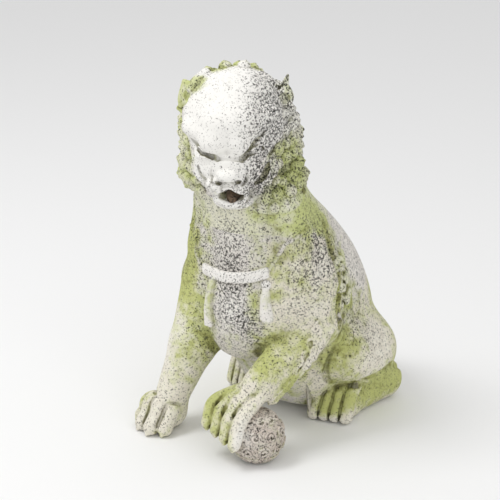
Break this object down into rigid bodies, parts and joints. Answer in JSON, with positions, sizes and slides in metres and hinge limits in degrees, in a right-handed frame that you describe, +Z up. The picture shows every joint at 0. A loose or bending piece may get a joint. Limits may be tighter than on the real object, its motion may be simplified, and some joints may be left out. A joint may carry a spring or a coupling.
{
  "type": "guardian lion statue",
  "caption": "Seated cast stone guardian lion with turned head, curled mane and chest band, left forepaw on a carved ball; rests on flat paws and rump.",
  "frame": {"origin": "centre of the footprint's bounding box, on the ground under the lion", "axes": "+Z up, the chest and paws face -Y, the lion's left side is +X; the head is turned towards +X"},
  "size_m": [0.3109, 0.4476, 0.6086],
  "materials": {
    "pale_stone": "cast stone, rain washed",
    "mossy_stone": "cast stone under algae",
    "body_stone": "cast stone, pitted and weathered",
    "leg_stone": "cast stone with thin algae",
    "ball_stone": "cast stone, carved and stained",
    "shaded_stone": "cast stone, dark with damp",
    "steel_pins": "bright drawn bar"
  },
  "bodies": {
    "root": {"torso": "body_stone", "hindquarters": "body_stone", "neck": "mossy_stone", "head": "pale_stone", "lower_jaw": "pale_stone", "tongue": "shaded_stone", "eye_left": "pale_stone", "eye_right": "pale_stone", "ear_left": "mossy_stone", "ear_right": "mossy_stone", "mane_left": "mossy_stone", "mane_right": "mossy_stone", "mane_crown": "mossy_stone", "foreleg_left": "leg_stone", "foreleg_right": "leg_stone", "forepaw_left": "leg_stone", "forepaw_right": "leg_stone", "ball": "ball_stone", "hind_leg_left": "leg_stone", "hind_leg_right": "leg_stone", "hind_paw_left": "leg_stone", "hind_paw_right": "leg_stone", "chest_band": "pale_stone", "strap_left": "body_stone", "strap_right": "body_stone", "bell_left": "pale_stone", "bell_right": "pale_stone", "tassel_left": "body_stone", "tassel_right": "body_stone", "flank_scroll_left": "mossy_stone", "flank_scroll_right": "mossy_stone", "spine_ridge": "body_stone", "tail": "body_stone", "neck_bar": "steel_pins", "waist_bar": "steel_pins", "foreleg_bar_left": "steel_pins", "foreleg_bar_right": "steel_pins", "shoulder_pins": "steel_pins", "hip_pins": "steel_pins", "ball_pin": "steel_pins"}
  },
  "joints": []
}
